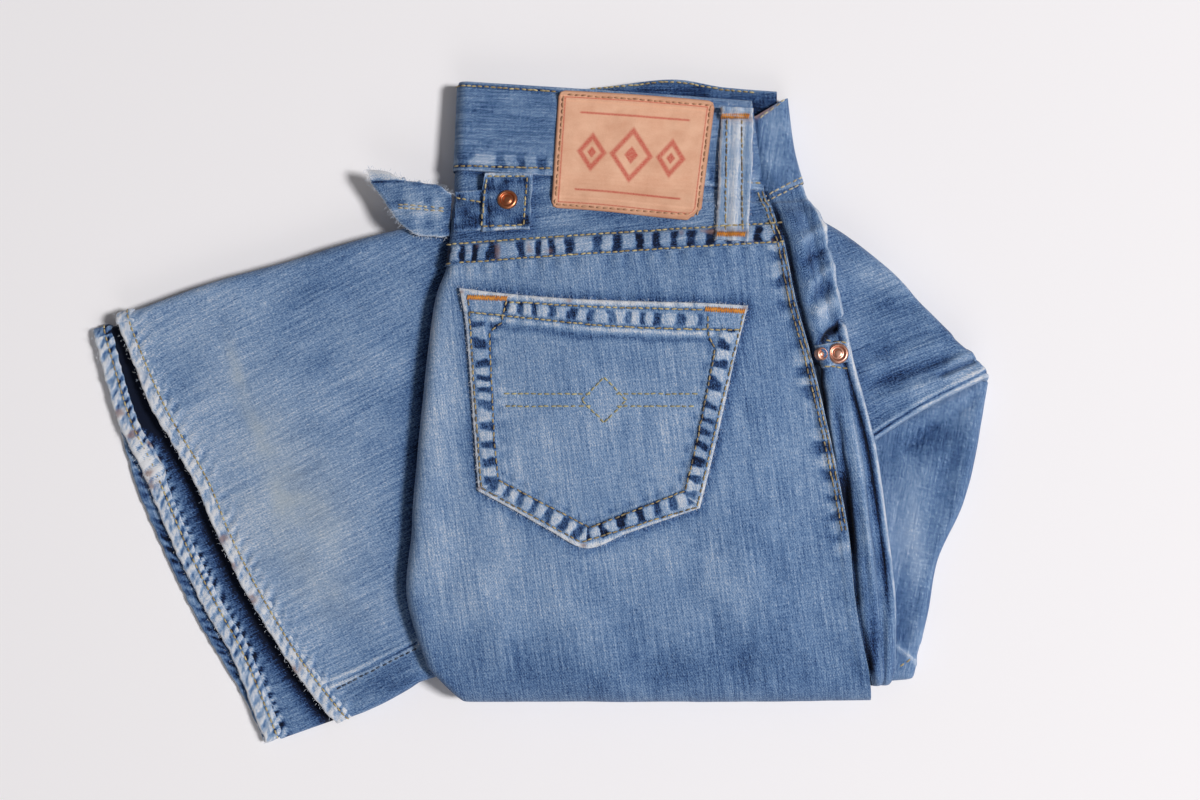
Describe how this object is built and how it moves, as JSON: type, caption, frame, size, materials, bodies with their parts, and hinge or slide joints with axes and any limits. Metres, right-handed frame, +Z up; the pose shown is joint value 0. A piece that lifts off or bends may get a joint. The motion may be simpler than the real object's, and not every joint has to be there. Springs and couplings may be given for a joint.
{
  "type": "folded bootcut jeans",
  "caption": "Folded bootcut jeans in faded blue denim, lying flat with the back pocket up and the flared hems to the left.",
  "frame": {"origin": "on the surface that the jeans lie on, under the seat and within 2.1 mm of the middle of their outline", "axes": "+X from the hems towards the knee fold, +Y towards the waist, +Z up"},
  "size_m": [0.4526, 0.333, 0.0397],
  "materials": {
    "denim": "faded blue cotton twill, matte",
    "denim_dark": "darker blue cotton twill, matte",
    "denim_pale": "worn pale blue cotton twill, matte",
    "leather": "soft tan, matte",
    "copper": "worn copper, satin"
  },
  "bodies": {
    "root": {"back_right": "denim", "belt_loop": "denim_pale", "cinch_button": "copper", "cinch_strap_end": "denim_pale", "cinch_tab": "denim", "front_right": "denim", "hem_left_lower": "denim_pale", "hem_left_upper": "denim_pale", "hem_right_lower": "denim_pale", "hem_right_upper": "denim_pale", "knee_right": "denim", "layers_knee": "denim_dark", "layers_legs": "denim_dark", "layers_seat": "denim_dark", "layers_thigh": "denim_dark", "patch": "leather", "pocket_back": "denim", "pocket_hem": "denim_pale", "rivet_1": "copper", "rivet_2": "copper", "rivet_bar": "denim_pale", "shin_left": "denim", "shin_right": "denim", "thigh_right": "denim", "waistband_back": "denim_dark", "waistband_front": "denim_dark", "waistband_under_back_left": "denim_dark", "waistband_under_front_left": "denim_dark", "waistband_under_front_right": "denim_dark", "yoke_right": "denim"}
  },
  "joints": []
}
